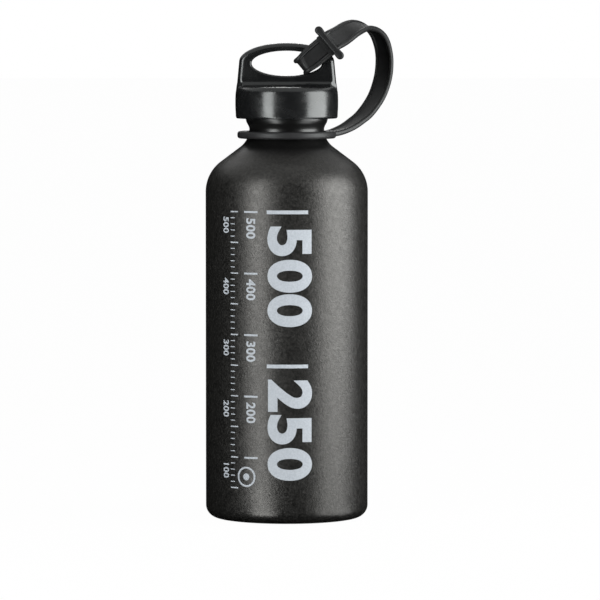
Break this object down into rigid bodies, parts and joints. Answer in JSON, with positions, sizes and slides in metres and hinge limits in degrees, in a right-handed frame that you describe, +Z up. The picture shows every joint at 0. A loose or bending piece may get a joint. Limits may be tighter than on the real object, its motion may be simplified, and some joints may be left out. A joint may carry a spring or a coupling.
{
  "type": "camping fuel bottle",
  "caption": "Round metal fuel bottle with a dished base, sloping shoulder and narrow neck, a push-and-turn screw cap with a handle, and a rubber tether.",
  "frame": {"origin": "centre of the base, on the surface that the bottle stands on", "axes": "+Z up along the bottle's axis, +X to the right in the picture, towards the strap, +Y away from the camera"},
  "size_m": [0.0827, 0.078, 0.217],
  "materials": {
    "coated_aluminium": "fine matt black powder coat",
    "stopper_plastic": "moulded black plastic",
    "seal_rubber": "smooth black rubber",
    "spring_steel": "drawn stainless wire",
    "cap_plastic": "semi-gloss moulded black plastic",
    "tether_rubber": "satin moulded black rubber"
  },
  "bodies": {
    "bottle": {"bottle_shell": "coated_aluminium"},
    "seal": {"o_ring": "seal_rubber"},
    "stopper": {"threaded_plug": "stopper_plastic"},
    "swivel": {"return_spring": "spring_steel", "tether_loop": "tether_rubber", "tether_band": "tether_rubber"},
    "cap": {"cap_shell": "cap_plastic"},
    "collar": {"tether_ring": "tether_rubber"}
  },
  "joints": [
    {"name": "stopper_rise", "type": "slide", "parent": "bottle", "child": "seal", "axis": [0, 0, 1], "range_m": [0, 0.012]},
    {"name": "stopper_turn", "type": "hinge", "parent": "seal", "child": "stopper", "pos_m": [0, 0, 0.17], "axis": [0, 0, 1], "range_deg": [0, 1440]},
    {"name": "cap_slip", "type": "hinge", "parent": "stopper", "child": "swivel", "pos_m": [0, 0, 0.18], "axis": [0, 0, 1], "continuous": true},
    {"name": "cap_press", "type": "slide", "parent": "swivel", "child": "cap", "axis": [0, 0, -1], "range_m": [0, 0.0018], "stiffness_N_per_m": 4000, "springref_m": -0.002, "deforming": ["return_spring"]},
    {"name": "collar_stay", "type": "slide", "parent": "swivel", "child": "collar", "axis": [0, 0, -1], "range_m": [0, 0.012], "deforming": ["tether_band"]}
  ],
  "couplings": [
    {"joint": "stopper_turn", "follows": "stopper_rise", "rad_per_m": 2094.4},
    {"joint": "collar_stay", "follows": "stopper_rise", "ratio": 1}
  ]
}
